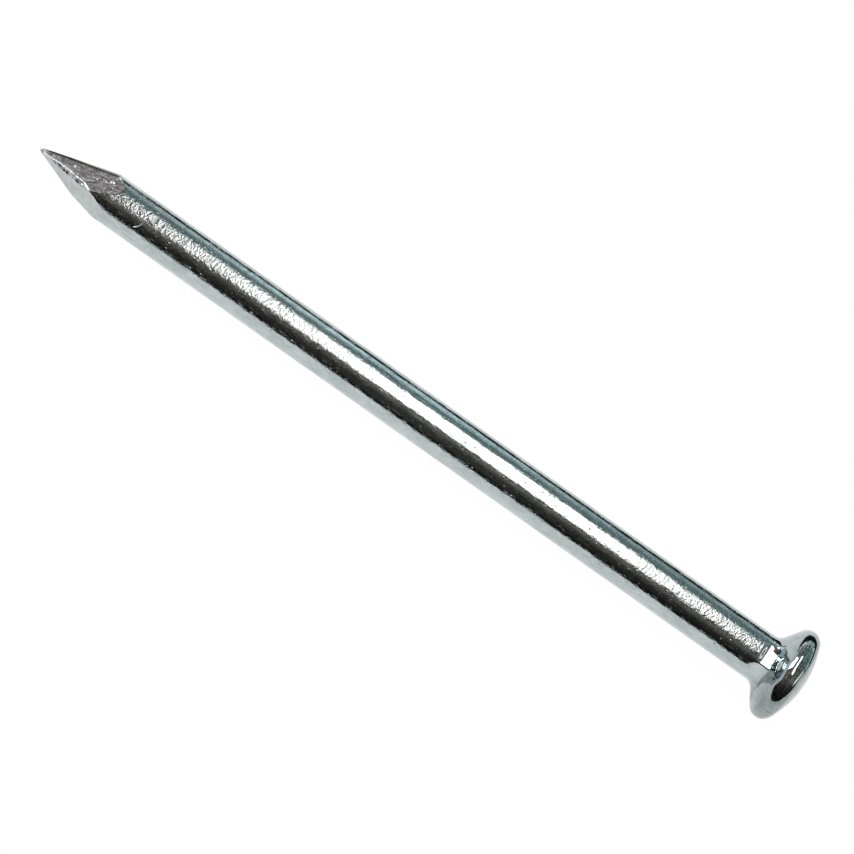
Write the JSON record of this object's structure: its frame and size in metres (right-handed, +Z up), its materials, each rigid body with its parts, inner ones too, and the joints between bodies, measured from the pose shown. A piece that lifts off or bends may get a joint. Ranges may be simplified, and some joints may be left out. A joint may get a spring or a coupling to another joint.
{
  "type": "nail",
  "caption": "Bright zinc-plated steel wire nail with a smooth round shank, a four-sided diamond point and a domed round head on a swept neck.",
  "frame": {"origin": "centre of the bounding box, on the level surface that the nail lies on", "axes": "+X along the nail from its point to its head, +Z up. The nail rests on the rim of its head and on the bottom of its shank behind the point, so its axis lies in the XZ plane and rises towards the head by 1.83 degrees"},
  "size_m": [0.0762, 0.0084, 0.0084],
  "materials": {
    "zinc_plated_steel": "bright electroplated zinc with a faint blue cast, glossy, with fine orange-peel and small drawing and handling marks"
  },
  "bodies": {
    "root": {"nail": "zinc_plated_steel"}
  },
  "joints": []
}
